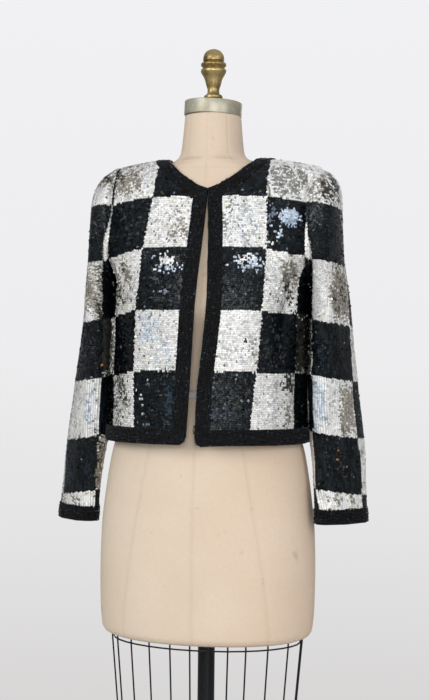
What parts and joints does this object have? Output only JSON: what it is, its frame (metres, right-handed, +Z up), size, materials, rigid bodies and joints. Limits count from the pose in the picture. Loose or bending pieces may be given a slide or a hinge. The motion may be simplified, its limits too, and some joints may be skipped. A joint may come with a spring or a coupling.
{
  "type": "sequin jacket on a limbless dress form with its stand",
  "caption": "Cropped open-front sequin jacket with a checkered ground and beaded borders, worn by a limbless linen dress form on a pole stand with a wire cage.",
  "frame": {"origin": "centre of the base's underside, on the floor", "axes": "+Z up along the pole, -Y where the form faces, +X to the form's own left"},
  "size_m": [0.5452, 0.388, 1.6539],
  "materials": {
    "sequin_cloth": "black and silver sequins sewn on black cloth",
    "black_beading": "small black glass beads in close wavy strings",
    "form_linen": "aged cream linen over a hard shell",
    "neck_cap_metal": "worn grey metal",
    "old_brass": "aged turned brass",
    "black_steel": "black paint, semi-gloss"
  },
  "bodies": {
    "root": {"back": "sequin_cloth", "back_hem_border": "black_beading", "back_neck_border": "black_beading", "base": "black_steel", "cage_ring_low": "black_steel", "cage_ring_top": "black_steel", "cage_wire_01": "black_steel", "cage_wire_02": "black_steel", "cage_wire_03": "black_steel", "cage_wire_04": "black_steel", "cage_wire_05": "black_steel", "cage_wire_06": "black_steel", "cage_wire_07": "black_steel", "cage_wire_08": "black_steel", "cage_wire_09": "black_steel", "cage_wire_10": "black_steel", "cage_wire_11": "black_steel", "cage_wire_12": "black_steel", "cage_wire_13": "black_steel", "cuff_border_left": "black_beading", "cuff_border_right": "black_beading", "finial": "old_brass", "form_torso": "form_linen", "front_border_left": "black_beading", "front_border_right": "black_beading", "front_left": "sequin_cloth", "front_right": "sequin_cloth", "neck_cap": "neck_cap_metal", "pole": "black_steel", "sleeve_left": "sequin_cloth", "sleeve_right": "sequin_cloth"}
  },
  "joints": []
}
